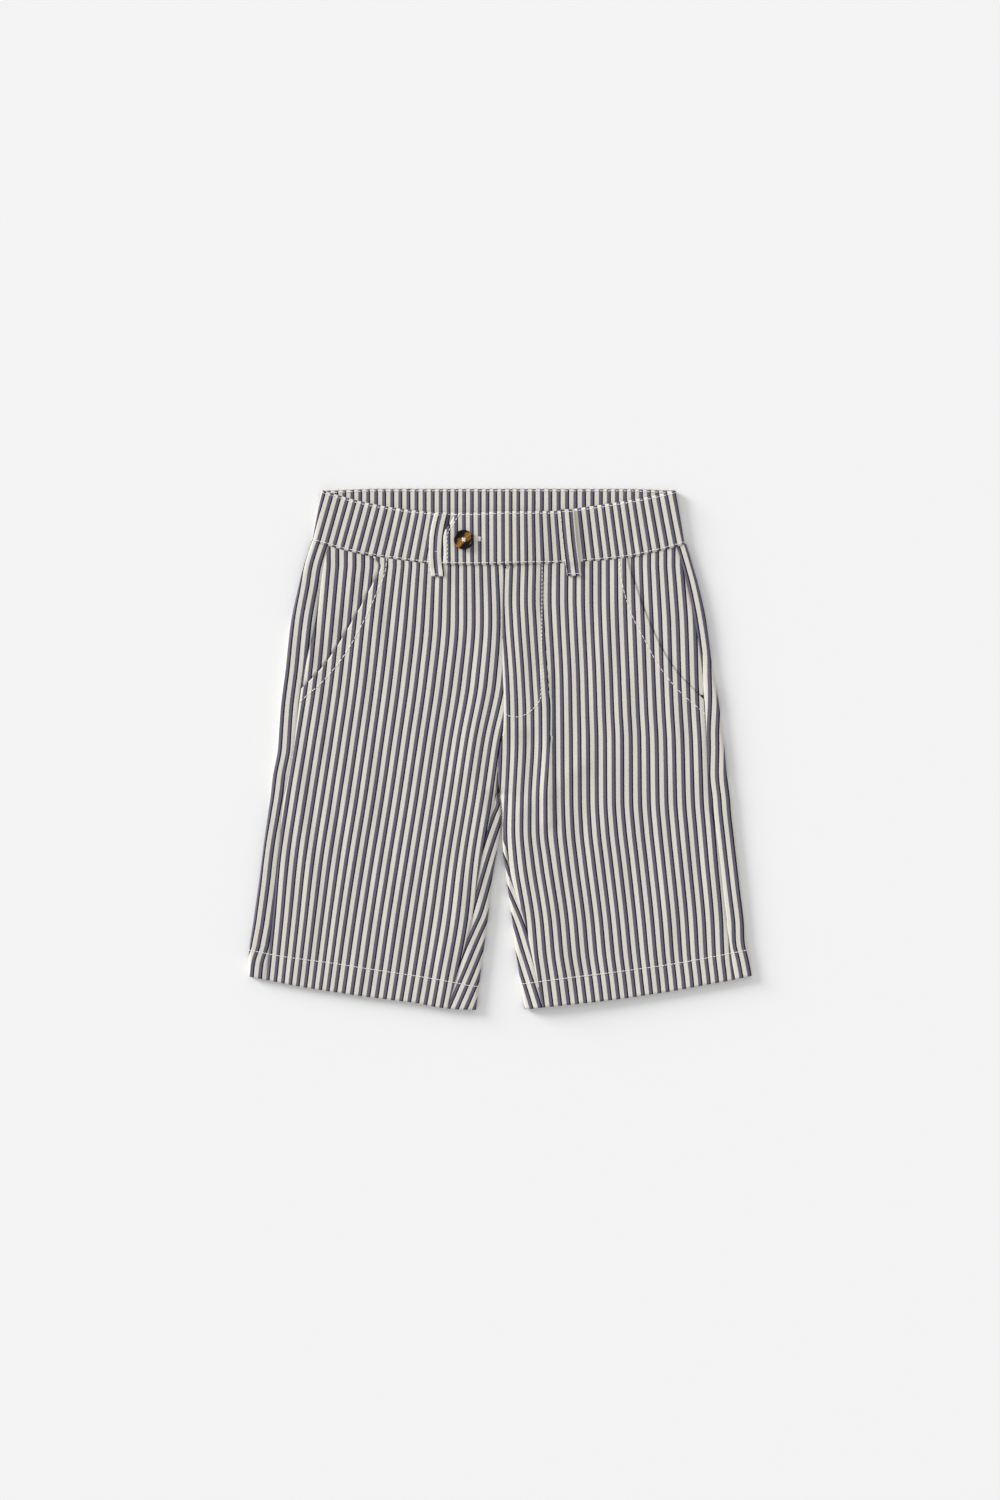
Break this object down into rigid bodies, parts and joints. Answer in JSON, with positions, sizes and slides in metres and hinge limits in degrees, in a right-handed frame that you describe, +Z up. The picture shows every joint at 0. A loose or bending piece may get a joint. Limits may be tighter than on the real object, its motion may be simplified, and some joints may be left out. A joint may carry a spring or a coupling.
{
  "type": "bermuda shorts laid flat",
  "caption": "Child's knee-length shorts in striped cotton, lying flat front up, with waistband tab and button, fly, belt loops and slanted pockets.",
  "frame": {"origin": "middle of the garment's outline, on the surface it lies on", "axes": "+X to the wearer's left, +Y from the hems to the waist, +Z up off the surface"},
  "size_m": [0.3882, 0.3996, 0.0108],
  "materials": {
    "striped_cotton": "matt light cotton with narrow cream, slate and near-black stripes",
    "horn_button": "polished dark horn look with amber streaks"
  },
  "bodies": {
    "root": {"back_right": "striped_cotton", "back_left": "striped_cotton", "front_right": "striped_cotton", "front_left": "striped_cotton", "pocket_facing_right": "striped_cotton", "pocket_facing_left": "striped_cotton", "waistband": "striped_cotton", "belt_loop_right": "striped_cotton", "belt_loop_left": "striped_cotton", "button": "horn_button"}
  },
  "joints": []
}
